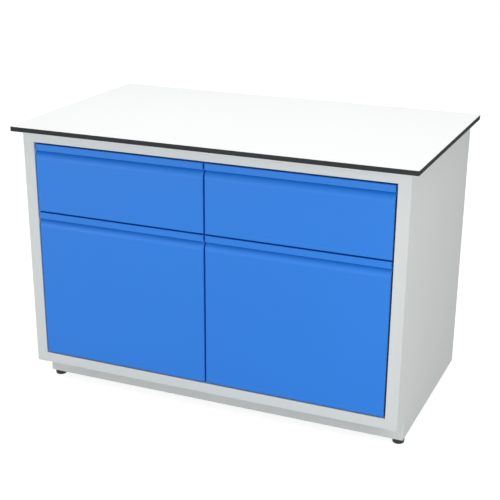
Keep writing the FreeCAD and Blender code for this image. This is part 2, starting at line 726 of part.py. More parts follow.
rows = {
    "upper": ("upperTop", "upperFrontHeight", "upperBoxHeight", "upperRunnerRise"),
    "lower": ("lowerTop", "lowerFrontHeight", "lowerBoxHeight", "lowerRunnerRise"),
}
cabinetRails = []
for row, (top, frontHeight, boxHeight, runnerRise) in rows.items():
    for column, sign in (("left", -1), ("right", 1)):
        name = f"{row}_{column}"
        frontMiddle = f"{sign} * (frontGap + frontWidth) / 2"
        boxLevel = f"{top} - {frontHeight} + boxRise"
        runnerLevel = f"{boxLevel} + {runnerRise}"
        nodes.append(drawerFront(f"drawer_front_{name}", frontHeight, frontMiddle, top))
        boxAt = f"{sign} * boxMiddle"
        screwPlaces = [(f"{boxAt} + {side} * wallScrewSide", level) for side in (-1, 1) for level in (
            f"{boxLevel} + wallScrewRise", f"{boxLevel} + {boxHeight} - wallScrewRise")]
        screws, holes = wallScrews(f"drawer_screws_{name}", screwPlaces)
        liner = block(f"drawer_liner_{name}_blank",
                      ("frontWidth - 2 * linerInset", "liner", f"{frontHeight} - 2 * linerInset"),
                      (f"{frontMiddle} - frontWidth / 2 + linerInset", "caseFront + skinDepth",
                       f"{top} - {frontHeight} + linerInset"))
        wall = drawerWall(f"drawer_front_wall_{name}_blank", boxHeight, boxAt, boxLevel,
                          "boxFront", 1)
        nodes += [
            cutFrom(f"drawer_liner_{name}", liner, holes),
            drawerTray(f"drawer_tray_{name}", boxHeight, boxAt, boxLevel),
            cutFrom(f"drawer_front_wall_{name}", wall, holes),
            drawerWall(f"drawer_back_wall_{name}", boxHeight, boxAt, boxLevel,
                       "boxFront + boxLength", -1),
            screws,
            railPair(f"drawer_rails_{name}", "drawer", sign, runnerLevel),
            railPair(f"middle_rails_{name}", "middle", sign, runnerLevel)]
        cabinetRails.append(railPair(f"cabinet_rails_{name}", "cabinet", sign, runnerLevel))
nodes.append(group("cabinet_rails", cabinetRails))


# Checks and export -------------------------------------------------------------------------------

doc.recompute()
for thing in doc.Objects:
    if "Invalid" in thing.State or "Error" in thing.State:
        raise RuntimeError(f"{thing.Label} failed: {thing.State}")

os.makedirs("parts", exist_ok=True)
for node in nodes:
    shape = node.Shape
    if shape.isNull() or not shape.isValid() or not shape.Solids:
        raise RuntimeError(f"{node.Label} has no valid solid")
    shape.exportStep(f"parts/{node.Label}.step")
    print(f"{node.Label}: {len(shape.Solids)} solid(s), {shape.Volume:.0f} mm3")
print(f"{len(nodes)} nodes")
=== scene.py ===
import bpy
import bmesh
import json
import math
from mathutils import Matrix, Quaternion, Vector


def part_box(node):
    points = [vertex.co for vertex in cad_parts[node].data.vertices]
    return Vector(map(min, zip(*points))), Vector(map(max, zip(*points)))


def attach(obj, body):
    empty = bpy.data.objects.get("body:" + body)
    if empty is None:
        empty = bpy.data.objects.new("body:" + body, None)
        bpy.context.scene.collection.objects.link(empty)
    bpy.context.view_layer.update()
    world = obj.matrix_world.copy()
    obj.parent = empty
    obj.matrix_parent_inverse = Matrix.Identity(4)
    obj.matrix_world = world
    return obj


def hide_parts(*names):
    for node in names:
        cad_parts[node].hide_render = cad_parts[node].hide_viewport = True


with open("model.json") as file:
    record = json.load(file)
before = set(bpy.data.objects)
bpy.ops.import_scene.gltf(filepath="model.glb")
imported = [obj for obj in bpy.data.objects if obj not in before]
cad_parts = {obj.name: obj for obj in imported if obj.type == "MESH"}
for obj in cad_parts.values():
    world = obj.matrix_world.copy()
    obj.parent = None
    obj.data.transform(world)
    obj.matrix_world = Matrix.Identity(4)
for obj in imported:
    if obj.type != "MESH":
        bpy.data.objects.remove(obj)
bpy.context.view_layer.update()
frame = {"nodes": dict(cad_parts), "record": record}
nodes = frame["nodes"]
drawerNames = ("upper_left", "upper_right", "lower_left", "lower_right")
footNames = ("front_left", "front_right", "rear_left", "rear_right")
print("frame loaded:", len(nodes), "nodes")


def newObject(name, data):
    item = bpy.data.objects.new(name, data)
    bpy.context.collection.objects.link(item)
    return item


# camera: metres, same frame as the bench
cameraSettings = {
    "place": (1.3501, -3.188, 1.6698),
    "looksAlong": (-0.3805, 0.8511, -0.3618),
    "rollDegrees": -0.05,
    "lens": 79.56,  # millimetres, as is the sensor
    "sensorWidth": 36,
    "shift": (0.0425, 0.0743),
    "clip": (0.05, 100),
}


def makeCamera(settings):
    data = bpy.data.cameras.new("benchCamera")
    data.sensor_width = settings["sensorWidth"]
    data.lens = settings["lens"]
    data.shift_x, data.shift_y = settings["shift"]
    data.clip_start, data.clip_end = settings["clip"]
    camera = newObject("benchCamera", data)
    camera.location = settings["place"]
    camera.rotation_mode = "QUATERNION"
    aim = Vector(settings["looksAlong"]).to_track_quat("-Z", "Y")
    roll = Quaternion((0, 0, 1), math.radians(settings["rollDegrees"]))
    camera.rotation_quaternion = aim @ roll
    bpy.context.scene.camera = camera


makeCamera(cameraSettings)
bpy.context.scene.view_settings.view_transform = "Standard"
print("camera ready")


# node helpers; a value is a number, a colour, a vector or the socket of another node
colourSocket, vectorSocket, valueSocket = "NodeSocketColor", "NodeSocketVector", "NodeSocketFloat"
noiseWindow = (0.3, 0.7)  # where nearly all values of a noise lie


def feed(tree, socket, value):
    if isinstance(value, bpy.types.NodeSocket):
        tree.links.new(value, socket)
    else:
        socket.default_value = value


def addNode(tree, kind, inputs=None, **settings):
    # inputs: name or number of a socket -> its value
    node = tree.nodes.new(kind)
    for name, value in settings.items():
        setattr(node, name, value)
    for socket, value in (inputs or {}).items():
        feed(tree, node.inputs[socket], value)
    return node


def mathNode(tree, operation, first, second):
    return addNode(tree, "ShaderNodeMath", {0: first, 1: second}, operation=operation).outputs[0]


def spread(tree, value, low, high, window=(0.0, 1.0)):
    # the stretch of value that lies in the window, mapped onto low to high
    inputs = {"Value": value, "From Min": window[0], "From Max": window[1],
              "To Min": low, "To Max": high}
    return addNode(tree, "ShaderNodeMapRange", inputs).outputs["Result"]


def objectSpace(tree, stretch=(1, 1, 1)):
    # object coordinates, scaled per axis for grain that runs one way
    coordinates = addNode(tree, "ShaderNodeTexCoord")
    inputs = {"Vector": coordinates.outputs["Object"], "Scale": stretch}
    return addNode(tree, "ShaderNodeMapping", inputs).outputs["Vector"]


def noiseOf(tree, vector, scale, detail, roughness):
    inputs = {"Vector": vector, "Scale": scale, "Detail": detail, "Roughness": roughness}
    return addNode(tree, "ShaderNodeTexNoise", inputs).outputs["Fac"]


def brightened(tree, colour, value):
    # the colour with its brightness multiplied by value
    inputs = {"Color": colour, "Value": value}
    return addNode(tree, "ShaderNodeHueSaturation", inputs).outputs["Color"]


def blended(tree, factor, first, second):
    # a Mix node takes its two colours at inputs 6 and 7 and gives the result at output 2
    inputs = {"Factor": factor, 6: first, 7: second}
    return addNode(tree, "ShaderNodeMix", inputs, data_type="RGBA").outputs[2]


def emptyTree(owner):
    # the cleared node tree of a material or a world
    owner.use_nodes = True
    owner.node_tree.nodes.clear()
    return owner.node_tree


def arrangeNodes(tree, columnWidth=220, rowHeight=220):
    # each node stands in a column left of all that it feeds
    column = {node.name: 0 for node in tree.nodes}
    for sweep in range(len(tree.nodes)):
        for wire in tree.links:
            source, target = wire.from_node.name, wire.to_node.name
            column[source] = max(column[source], column[target] + 1)
    filled = dict.fromkeys(column.values(), 0)
    for node in tree.nodes:
        place = column[node.name]
        node.location = (-columnWidth * place, -rowHeight * filled[place])
        filled[place] += 1


def newGroup(name, inputs, outputs):
    # inputs: name -> (kind of socket, default); outputs: name -> kind of socket
    tree = bpy.data.node_groups.new(name, "ShaderNodeTree")
    for label, (kind, value) in inputs.items():
        socket = tree.interface.new_socket(name=label, in_out="INPUT", socket_type=kind)
        socket.default_value = value
    for label, kind in outputs.items():
        tree.interface.new_socket(name=label, in_out="OUTPUT", socket_type=kind)
    given = addNode(tree, "NodeGroupInput").outputs
    return tree, given, addNode(tree, "NodeGroupOutput").inputs


def closeGroup(tree, result, **outputs):
    for label, value in outputs.items():
        feed(tree, result[label], value)
    arrangeNodes(tree)
    return tree


surfaceOutputs = {"Colour": colourSocket, "Roughness": valueSocket, "Height": valueSocket}


# one along outer edges and zero on the flats; it masks the painted edge highlight
edgeSettings = {
    "samples": 4,
    "turned": (0.7, 0.995),  # cosine between the flat's normal and the rounded one: full painted highlight, none
    "breaks": (90, 3, 0.6),  # scale, detail and roughness, as for every full noise below
    "leastHighlight": 0.35,
}


def makeEdgeGroup(settings):
    tree, given, result = newGroup(
        "edgeFinder", {"Width": (valueSocket, 0.001)}, {"Edge": valueSocket})
    bevel = addNode(tree, "ShaderNodeBevel", {"Radius": given["Width"]}, samples=settings["samples"])
    geometry = addNode(tree, "ShaderNodeNewGeometry")
    inputs = {0: bevel.outputs["Normal"], 1: geometry.outputs["True Normal"]}
    dot = addNode(tree, "ShaderNodeVectorMath", inputs, operation="DOT_PRODUCT")
    sharp = spread(tree, dot.outputs["Value"], 1.0, 0.0, settings["turned"])
    noise = noiseOf(tree, objectSpace(tree), *settings["breaks"])
    broken = spread(tree, noise, settings["leastHighlight"], 1.0, noiseWindow)
    return closeGroup(tree, result, Edge=mathNode(tree, "MULTIPLY", sharp, broken))


# fine dust that lies on what faces up
dustSettings = {
    "facesUp": (0.75, 0.98),  # the normal's height: no dust, full dust
    "patches": (5, 0.6),  # detail and roughness; the scale is an input
    "patchWindow": (0.35, 0.7),
    "grains": (1400, 1, 0.5),
    "grainWindow": (0.4, 0.65),
    "leastGrain": 0.2,
}


def makeDustGroup(settings):
    tree, given, result = newGroup(
        "settledDust", {"Amount": (valueSocket, 0.2), "Patch Scale": (valueSocket, 12.0)},
        {"Dust": valueSocket})
    geometry = addNode(tree, "ShaderNodeNewGeometry")
    split = addNode(tree, "ShaderNodeSeparateXYZ", {0: geometry.outputs["Normal"]})
    up = spread(tree, split.outputs["Z"], 0.0, 1.0, settings["facesUp"])
    space = objectSpace(tree)
    patchNoise = noiseOf(tree, space, given["Patch Scale"], *settings["patches"])
    patches = spread(tree, patchNoise, 0.0, 1.0, settings["patchWindow"])
    grainNoise = noiseOf(tree, space, *settings["grains"])
    grains = spread(tree, grainNoise, settings["leastGrain"], 1.0, settings["grainWindow"])
    cover = mathNode(tree, "MULTIPLY", mathNode(tree, "MULTIPLY", up, patches), grains)
    return closeGroup(tree, result, Dust=mathNode(tree, "MULTIPLY", cover, given["Amount"]))


# powder coat: orange peel, faint clouding, and a painted highlight, a lighter colour along every fold
# and cut edge
powderSettings = {
    "peel": (2.5, 0.45),  # detail and roughness; the scale is an input
    "clouds": (3.2, 3.0, 0.55),
    "flecks": (2600, 1.0, 0.5),
    "fleckShade": (0.992, 1.008),
    "cloudSheen": (-0.03, 0.03),
}


def makePowderCoatGroup(settings, edgeGroup):
    tree, given, result = newGroup("powderCoatSkin", {
        "Colour": (colourSocket, (0.8, 0.8, 0.8, 1)),
        "Edge Highlight Colour": (colourSocket, (0.9, 0.9, 0.9, 1)),
        "Peel Scale": (valueSocket, 650.0),
        "Clouding": (valueSocket, 0.012),
        "Roughness": (valueSocket, 0.42),
        "Edge Width": (valueSocket, 0.0012),
        "Edge Highlight Amount": (valueSocket, 0.25),
    }, surfaceOutputs)
    space = objectSpace(tree)
    peel = noiseOf(tree, space, given["Peel Scale"], *settings["peel"])
    clouds = noiseOf(tree, space, *settings["clouds"])
    flecks = noiseOf(tree, space, *settings["flecks"])
    darkest = mathNode(tree, "SUBTRACT", 1.0, given["Clouding"])
    lightest = mathNode(tree, "ADD", 1.0, given["Clouding"])
    shade = mathNode(tree, "MULTIPLY", spread(tree, clouds, darkest, lightest, noiseWindow),
                     spread(tree, flecks, *settings["fleckShade"], noiseWindow))
    coat = brightened(tree, given["Colour"], shade)
    # the lighter edge colour mixed in along the edges is a painted highlight
    edge = addNode(tree, "ShaderNodeGroup", node_tree=edgeGroup)
    feed(tree, edge.inputs["Width"], given["Edge Width"])
    highlightShare = mathNode(tree, "MULTIPLY", edge.outputs["Edge"], given["Edge Highlight Amount"])
    sheen = spread(tree, clouds, *settings["cloudSheen"], noiseWindow)
    return closeGroup(
        tree, result, Colour=blended(tree, highlightShare, coat, given["Edge Highlight Colour"]),
        Roughness=mathNode(tree, "ADD", given["Roughness"], sheen), Height=peel)


# laminate face: very fine pearl texture and a slightly uneven sheen
laminateSettings = {
    "clouds": (1.8, 3, 0.5),
    "paper": (420, 4, 0.65),
    "paperWindow": (0.35, 0.65),
    "shade": (0.994, 1.004),
    "cloudSheen": (-0.03, 0.04),
    "paperSheen": (-0.02, 0.02),
}


def makeLaminateGroup(settings):
    tree, given, result = newGroup("laminateFace", {
        "Colour": (colourSocket, (0.9, 0.9, 0.9, 1)),
        "Pearl Scale": (valueSocket, 900.0),
        "Roughness": (valueSocket, 0.38),
    }, surfaceOutputs)
    space = objectSpace(tree)
    inputs = {"Vector": space, "Scale": given["Pearl Scale"]}
    pearl = addNode(tree, "ShaderNodeTexVoronoi", inputs, feature="SMOOTH_F1")
    clouds = noiseOf(tree, space, *settings["clouds"])
    paper = noiseOf(tree, space, *settings["paper"])
    shade = mathNode(tree, "MULTIPLY", spread(tree, clouds, *settings["shade"], noiseWindow),
                     spread(tree, paper, *settings["shade"], settings["paperWindow"]))
    sheen = mathNode(tree, "ADD", spread(tree, clouds, *settings["cloudSheen"], noiseWindow),
                     spread(tree, paper, *settings["paperSheen"], noiseWindow))
    return closeGroup(
        tree, result, Colour=brightened(tree, given["Colour"], shade),
        Roughness=mathNode(tree, "ADD", given["Roughness"], sheen), Height=pearl.outputs["Distance"])


# cut edge of a solid laminate board: pressed paper layers with faint saw marks across them
pressedSettings = {
    "layerStretch": (1.5, 1.5, 2400),
    "sawStretch": (900, 900, 14),
    "noise": (1.0, 2, 0.5),
    "layerShare": 0.75,
    "sawShare": 0.25,
    "mixWindow": (0.35, 0.65),
    "sawSheen": (-0.06, 0.06),
}


def makePressedEdgeGroup(settings):
    tree, given, result = newGroup("pressedLayers", {
        "Dark Layer": (colourSocket, (0.03, 0.03, 0.035, 1)),
        "Light Layer": (colourSocket, (0.05, 0.05, 0.055, 1)),
        "Roughness": (valueSocket, 0.5),
    }, surfaceOutputs)
    layers = noiseOf(tree, objectSpace(tree, settings["layerStretch"]), *settings["noise"])
    saw = noiseOf(tree, objectSpace(tree, settings["sawStretch"]), *settings["noise"])
    mixed = mathNode(tree, "ADD", mathNode(tree, "MULTIPLY", layers, settings["layerShare"]),
                     mathNode(tree, "MULTIPLY", saw, settings["sawShare"]))
    share = spread(tree, mixed, 0.0, 1.0, settings["mixWindow"])
    sheen = spread(tree, saw, *settings["sawSheen"], noiseWindow)
    return closeGroup(
        tree, result, Colour=blended(tree, share, given["Dark Layer"], given["Light Layer"]),
        Roughness=mathNode(tree, "ADD", given["Roughness"], sheen), Height=mixed)


# zinc plating on rolled steel: streaks along the rolling direction under a cloudy, slightly blue film
zincSettings = {
    "streaks": (1.0, 3, 0.55),
    "streakShade": (0.88, 1.08),
    "streakSheen": (-0.06, 0.08),
    "film": (28, 4, 0.6),
    "filmWindow": (0.35, 0.7),
    "mostFilm": 0.8,
    "filmSheen": 0.08,
}


def makeZincGroup(settings):
    tree, given, result = newGroup("zincFilm", {
        "Colour": (colourSocket, (0.7, 0.7, 0.7, 1)),
        "Film Colour": (colourSocket, (0.6, 0.66, 0.72, 1)),
        "Streak Stretch": (vectorSocket, (900, 12, 900)),
        "Roughness": (valueSocket, 0.3),
    }, surfaceOutputs)
    streaks = noiseOf(tree, objectSpace(tree, given["Streak Stretch"]), *settings["streaks"])
    filmNoise = noiseOf(tree, objectSpace(tree), *settings["film"])
    film = spread(tree, filmNoise, 0.0, settings["mostFilm"], settings["filmWindow"])
    shade = spread(tree, streaks, *settings["streakShade"], noiseWindow)
    metal = brightened(tree, given["Colour"], shade)
    sheen = mathNode(tree, "ADD", spread(tree, streaks, *settings["streakSheen"], noiseWindow),
                     spread(tree, film, 0.0, settings["filmSheen"]))
    return closeGroup(
        tree, result, Colour=blended(tree, film, metal, given["Film Colour"]),
        Roughness=mathNode(tree, "ADD", given["Roughness"], sheen), Height=streaks)


# moulded plastic: spark-eroded grain with a little sheen change
mouldedSettings = {
    "grain": (3, 0.6),  # detail and roughness; the scale is an input
    "grainSheen": (-0.08, 0.08),
    "flow": (45, 2, 0.5),
    "flowShade": (0.85, 1.2),
}


def makeMouldedGroup(settings):
    tree, given, result = newGroup("mouldedGrain", {
        "Colour": (colourSocket, (0.03, 0.03, 0.03, 1)),
        "Grain Scale": (valueSocket, 1500.0),
        "Roughness": (valueSocket, 0.5),
    }, surfaceOutputs)
    space = objectSpace(tree)
    grain = noiseOf(tree, space, given["Grain Scale"], *settings["grain"])
    flow = noiseOf(tree, space, *settings["flow"])
    shade = spread(tree, flow, *settings["flowShade"], noiseWindow)
    sheen = spread(tree, grain, *settings["grainSheen"], noiseWindow)
    return closeGroup(
        tree, result, Colour=brightened(tree, given["Colour"], shade),
        Roughness=mathNode(tree, "ADD", given["Roughness"], sheen), Height=grain)


dustGroup = makeDustGroup(dustSettings)
powderGroup = makePowderCoatGroup(powderSettings, makeEdgeGroup(edgeSettings))
laminateGroup = makeLaminateGroup(laminateSettings)
pressedGroup = makePressedEdgeGroup(pressedSettings)
zincGroup = makeZincGroup(zincSettings)
mouldedGroup = makeMouldedGroup(mouldedSettings)
print("shader groups ready")


def linearPart(level):
    # one display level from 0 to 255 as the renderer's linear value
    share = level / 255
    return share / 12.92 if share <= 0.04045 else ((share + 0.055) / 1.055) ** 2.4


def linear(*levels):
    return (*(linearPart(level) for level in levels), 1.0)


# a lighter grey painted along the edges of the grey parts as a highlight
caseEdgeHighlight = linear(226, 229, 228)
zincBright = linear(206, 207, 208)
zincCloud = linear(186, 194, 202)
dustColour = (0.55, 0.54, 0.52, 1)

# one finish for each material slot; bump is strength and distance, skin feeds the group
finishSettings = {
    "case_grey": {
        "name": "caseGreyPowder", "group": powderGroup, "bump": (0.12, 0.0002), "dust": 0.05,
        "skin": {"Colour": linear(212, 216, 215), "Edge Highlight Colour": caseEdgeHighlight,
                 "Roughness": 0.52, "Edge Highlight Amount": 0.35},
        "shader": {"IOR": 1.45, "Specular IOR Level": 0.2},
    },
    "front_blue": {
        "name": "frontBluePowder", "group": powderGroup, "bump": (0.12, 0.0002), "dust": 0,
        # the lighter edge colour is a painted highlight along the fronts' edges
        "skin": {"Colour": linear(28, 122, 220), "Edge Highlight Colour": linear(92, 158, 236),
                 "Roughness": 0.45, "Edge Highlight Amount": 0.3, "Clouding": 0.01},
        "shader": {"IOR": 1.45},
    },
    "box_grey": {
        "name": "boxGreyPowder", "group": powderGroup, "bump": (0.15, 0.0002), "dust": 0.12,
        "skin": {"Colour": linear(205, 208, 208), "Edge Highlight Colour": caseEdgeHighlight,
                 "Roughness": 0.5, "Edge Highlight Amount": 0.35, "Peel Scale": 800.0},
        "shader": {"IOR": 1.45},
    },
    "worktop_white": {
        "name": "worktopLaminate", "group": laminateGroup, "bump": (0.1, 0.0001), "dust": 0,
        "skin": {"Colour": linear(240, 241, 241), "Roughness": 0.42},
        "shader": {"IOR": 1.45},
    },
    "worktop_core": {
        "name": "worktopPressedEdge", "group": pressedGroup, "bump": (0.2, 0.0002), "dust": 0,
        "skin": {"Dark Layer": linear(49, 52, 53), "Light Layer": linear(62, 66, 67),
                 "Roughness": 0.7},
        "shader": {"IOR": 1.45, "Specular IOR Level": 0.03},
    },
    "runner_steel": {
        "name": "runnerZinc", "group": zincGroup, "bump": (0.15, 0.0002), "dust": 0,
        "skin": {"Colour": zincBright, "Film Colour": zincCloud, "Roughness": 0.3},
        "shader": {"Metallic": 1.0},
    },
    "zinc_steel": {
        "name": "hardwareZinc", "group": zincGroup, "bump": (0.15, 0.0002), "dust": 0.1,
        "skin": {"Colour": zincBright, "Film Colour": zincCloud,
                 "Streak Stretch": (700, 700, 700), "Roughness": 0.34},
        "shader": {"Metallic": 1.0},
    },
    "foot_black": {
        "name": "footPadBlack", "group": mouldedGroup, "bump": (0.25, 0.0002), "dust": 0.12,
        "skin": {"Colour": linear(26, 28, 29), "Roughness": 0.55},
        "shader": {"IOR": 1.48},
    },
}


def makeMaterial(settings):
    material = bpy.data.materials.new(settings["name"])
    tree = emptyTree(material)
    skin = addNode(tree, "ShaderNodeGroup", settings["skin"], node_tree=settings["group"])
    strength, distance = settings["bump"]
    inputs = {"Strength": strength, "Distance": distance, "Height": skin.outputs["Height"]}
    bump = addNode(tree, "ShaderNodeBump", inputs)
    colour, roughness = skin.outputs["Colour"], skin.outputs["Roughness"]
    if settings["dust"]:
        dust = addNode(tree, "ShaderNodeGroup", node_tree=dustGroup)
        dust.inputs["Amount"].default_value = settings["dust"]
        colour = blended(tree, dust.outputs["Dust"], colour, dustColour)
        roughness = mathNode(tree, "ADD", roughness, dust.outputs["Dust"])
    inputs = {"Base Color": colour, "Roughness": roughness, "Normal": bump.outputs["Normal"]}
    shader = addNode(tree, "ShaderNodeBsdfPrincipled", {**inputs, **settings["shader"]})
    addNode(tree, "ShaderNodeOutputMaterial", {"Surface": shader.outputs["BSDF"]})
    arrangeNodes(tree)
    return material


def paint(piece, material):
    if not piece.material_slots:
        piece.data.materials.append(material)
    for slot in piece.material_slots:
        slot.material = material


finishes = {slotName: makeMaterial(settings) for slotName, settings in finishSettings.items()}
for subpart in frame["record"]["subparts"]:
    paint(nodes[subpart["node"]], finishes[subpart["material_slot"]])
print("finishes placed")


# mesh helpers for the fasteners and threads
weldGap = 0.000001  # points nearer to each other than this are one point
threadGap = 0.00002  # from the head or neck to its thread, which is a shell of its own
sharpDegrees = 32  # an edge that turns by more is shaded sharp
hardwareSlot = "zinc_steel"


def quarterTurn(steps=8):
    # sine and cosine at each step of a quarter turn, without its start
    angles = [step / steps * math.pi / 2 for step in range(1, steps + 1)]
    return [(math.sin(angle), math.cos(angle)) for angle in angles]


def addTurned(build, outline, segments):
    # a surface turned about Z from (radius, height) pairs; a radius of zero closes it
    angles = [2 * math.pi * step / segments for step in range(segments)]
    rings = []
    for radius, height in outline:
        rings.append([build.verts.new((radius * math.cos(angle), radius * math.sin(angle), height))
                      for angle in (angles if radius else angles[:1])])
    for lower, upper in zip(rings, rings[1:]):
        for step in range(segments):
            around = ((lower, step), (lower, step + 1), (upper, step + 1), (upper, step))
            corners = dict.fromkeys(ring[index % len(ring)] for ring, index in around)
            if len(corners) > 2:
                build.faces.new(list(corners))


def addThread(build, radius, low, high, settings):
    # a thread along Z whose rows of points climb with the helix: two on the crest, two in the root
    pitch, segments, tip = settings["threadPitch"], settings["threadSegments"], settings["tip"]
    root = radius - settings["threadDepth"]
    reaches = (radius, radius, root, root)
    perTurn = len(reaches)
    grid = []
    for row in range(-perTurn, int((high - low) / pitch * perTurn) + 2 * perTurn + 1):
        ring = []
        for step in range(segments):
            height = low + (row / perTurn + step / segments) * pitch
            reach = reaches[row % perTurn]
            if height > high - tip:
                reach = min(reach, root - (height - high + tip) * settings["tipSlope"])
            if height <= low or height >= high:
                height = min(max(height, low), high)
                reach = root - (tip * settings["tipSlope"] if height == high else 0.0)
            angle = 2 * math.pi * step / segments
            ring.append(build.verts.new((reach * math.cos(angle), reach * math.sin(angle), height)))
        grid.append(ring)
    made = [corner for ring in grid for corner in ring]
    for row in range(len(grid) - perTurn - 1):
        # a row's last point joins the first one of the row that is a whole turn higher
        lower, upper = (grid[level] + grid[level + perTurn][:1] for level in (row, row + 1))
        for step in range(segments):
            build.faces.new((lower[step], lower[step + 1], upper[step + 1], upper[step]))
    bmesh.ops.remove_doubles(build, verts=made, dist=weldGap)
    bmesh.ops.dissolve_degenerate(build, dist=weldGap / 10, edges=build.edges)
    for corner in [corner for corner in build.verts if not corner.link_faces]:
        build.verts.remove(corner)
    rims = [edge for edge in build.edges if len(edge.link_faces) == 1]
    bmesh.ops.holes_fill(build, edges=rims, sides=segments + 2)


def meshOf(build, name):
    mesh = bpy.data.meshes.new(name)
    bmesh.ops.recalc_face_normals(build, faces=build.faces)
    build.to_mesh(mesh)
    build.free()
    return mesh


def carved(base, tools):
    # the base mesh with each tool mesh cut away from it
    body = newObject("carveBase", base)
    cutters = [newObject("carveTool", tool) for tool in tools]
    for cutter in cutters:
        cut = body.modifiers.new("carve", "BOOLEAN")
        cut.operation = "DIFFERENCE"
        cut.solver = "EXACT"
        cut.object = cutter
    bpy.context.view_layer.update()
    view = bpy.context.evaluated_depsgraph_get()
    result = bpy.data.meshes.new_from_object(body.evaluated_get(view))
    for helper in (body, *cutters):
        bpy.data.objects.remove(helper)
    return result


def addCopy(build, mesh, matrix):
    start = len(build.verts)
    build.from_mesh(mesh)
    build.verts.ensure_lookup_table()
    bmesh.ops.transform(build, matrix=matrix, verts=build.verts[start:])


def addPiece(name, build, body, *replaced):
    # makes an object of a finished mesh in the hardware finish and parents it to the body; replaced
    # are the CAD nodes that it stands for, which it hides
    bmesh.ops.recalc_face_normals(build, faces=build.faces)
    for face in build.faces:
        face.smooth = True
    for edge in build.edges:
        edge.smooth = (len(edge.link_faces) == 2
                       and edge.calc_face_angle(0.0) < math.radians(sharpDegrees))
    piece = newObject(name, meshOf(build, name))
    piece.data.materials.append(finishes[hardwareSlot])
    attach(piece, body)
    if replaced:
        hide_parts(*replaced)


def solidBoxes(nodeName):
    # the lowest and highest corner of each separate solid of a CAD node, sorted by place
    build = bmesh.new()
    build.from_mesh(nodes[nodeName].data)
    bmesh.ops.remove_doubles(build, verts=build.verts, dist=weldGap)
    waiting = set(build.verts)
    boxes = []
    while waiting:
        solid = [waiting.pop()]
        for corner in solid:  # the list grows while it is walked
            found = waiting & {edge.other_vert(corner) for edge in corner.link_edges}
            waiting -= found
            solid.extend(found)
        boxes.append([Vector([limit(corner.co[axis] for corner in solid) for axis in range(3)])
                      for limit in (min, max)])
    build.free()
    return sorted(boxes, key=lambda box: [round(value, 4) for value in box[0]])


# pan-head screws with a cross recess, standing on the head's seat with the shank along +Z
screwSettings = {
    "headRadius": 0.0045,
    "headHeight": 0.0022,
    "headSegments": 40,
    "flatShare": 0.62,  # of the radius, flat on top
    "rimShare": 0.42,  # of the height, where the dome ends
    "dish": (0.35, 0.995),  # shares of radius and height: the flat's slight hollow
    "seat": (0.985, 0.1),  # shares of radius and height: the chamfer at the sheet
    "recessAcross": 0.0047,
    "recessWidth": 0.00105,
    "recessDepth": 0.0016,
    "recessMouth": (1.12, 1.1),  # shares of recessAcross and recessWidth, above the head
    "recessFloor": (0.42, 0.8),  # the same at the recess's depth
    "recessAbove": 1.2,  # share of the head's height at which the cutter starts
    "threadDepth": 0.00045,
    "threadPitch": 0.0012,
    "threadSegments": 18,
    "tip": 0.0008,
    "tipSlope": 0.6,
    "sheetShank": (0.002, 0.008),  # radius and length
    "boardShank": (0.0023, 0.014),
    "spin": (0.5, 2.4),  # radians: the first recess, and on from each to the next
}


def makeRecessWings(settings):
    # two crossed wedges, wide at the mouth and narrow at the recess's floor
    half, width = settings["recessAcross"] / 2, settings["recessWidth"] / 2
    height = settings["headHeight"]
    sections = ((settings["recessMouth"], -height * settings["recessAbove"]),
                (settings["recessFloor"], settings["recessDepth"] - height))
    wings = []
    for turn in (0, math.pi / 2):
        wing = bmesh.new()
        rims = []
        for (reach, side), level in sections:
            spin = Matrix.Rotation(turn, 4, "Z")
            rims.append([wing.verts.new(spin @ Vector((x * half * reach, y * width * side, level)))
                         for x, y in ((-1, -1), (1, -1), (1, 1), (-1, 1))])
            wing.faces.new(rims[-1])
        mouth, floor = rims
        for step in range(4):
            wing.faces.new((mouth[step], mouth[step - 3], floor[step - 3], floor[step]))
        wings.append(meshOf(wing, "recessWing"))
    return wings


def makeScrewMesh(shank, settings):
    radius, height = settings["headRadius"], settings["headHeight"]
    flat, rim = settings["flatShare"], settings["rimShare"]
    dishReach, dishLevel = settings["dish"]
    seatReach, seatLevel = settings["seat"]
    outline = [(0.0, -height), (radius * dishReach, -height * dishLevel), (radius * flat, -height)]
    outline += [(radius * (flat + (1 - flat) * sine), -height * (rim + (1 - rim) * cosine))
                for sine, cosine in quarterTurn()]
    outline += [(radius, -height * seatLevel), (radius * seatReach, 0.0), (0.0, 0.0)]
    head = bmesh.new()
    addTurned(head, outline, settings["headSegments"])
    build = bmesh.new()
    build.from_mesh(carved(meshOf(head, "screwHead"), makeRecessWings(settings)))
    shankRadius, shankLength = shank
    addThread(build, shankRadius, threadGap, shankLength, settings)
    return meshOf(build, "screwMesh")


def placeScrews(nodeName, body, mesh, pointing, settings):
    # one screw in each of the node's solids; pointing is the way the shanks run
    firstSpin, nextSpin = settings["spin"]
    build = bmesh.new()
    for count, (low, high) in enumerate(solidBoxes(nodeName)):
        seat = (low + high) / 2
        if pointing == "up":
            turn = Matrix()
            seat.z = low.z + settings["headHeight"]
        else:
            turn = Matrix.Rotation(math.radians(90), 4, "X")
            seat.y = high.y - settings["headHeight"]
        spin = Matrix.Rotation(count * nextSpin + firstSpin, 4, "Z")
        addCopy(build, mesh, Matrix.Translation(seat) @ turn @ spin)
    addPiece(nodeName + "Detailed", build, body, nodeName)


sheetScrewMesh = makeScrewMesh(screwSettings["sheetShank"], screwSettings)
boardScrewMesh = makeScrewMesh(screwSettings["boardShank"], screwSettings)
placeScrews("worktop_screws", "bench_case", boardScrewMesh, "up", screwSettings)
placeScrews("back_panel_screws", "bench_case", sheetScrewMesh, "inward", screwSettings)
for drawerName in drawerNames:
    placeScrews("drawer_screws_" + drawerName, "drawer_" + drawerName, sheetScrewMesh, "inward",
                screwSettings)
print("screws placed")


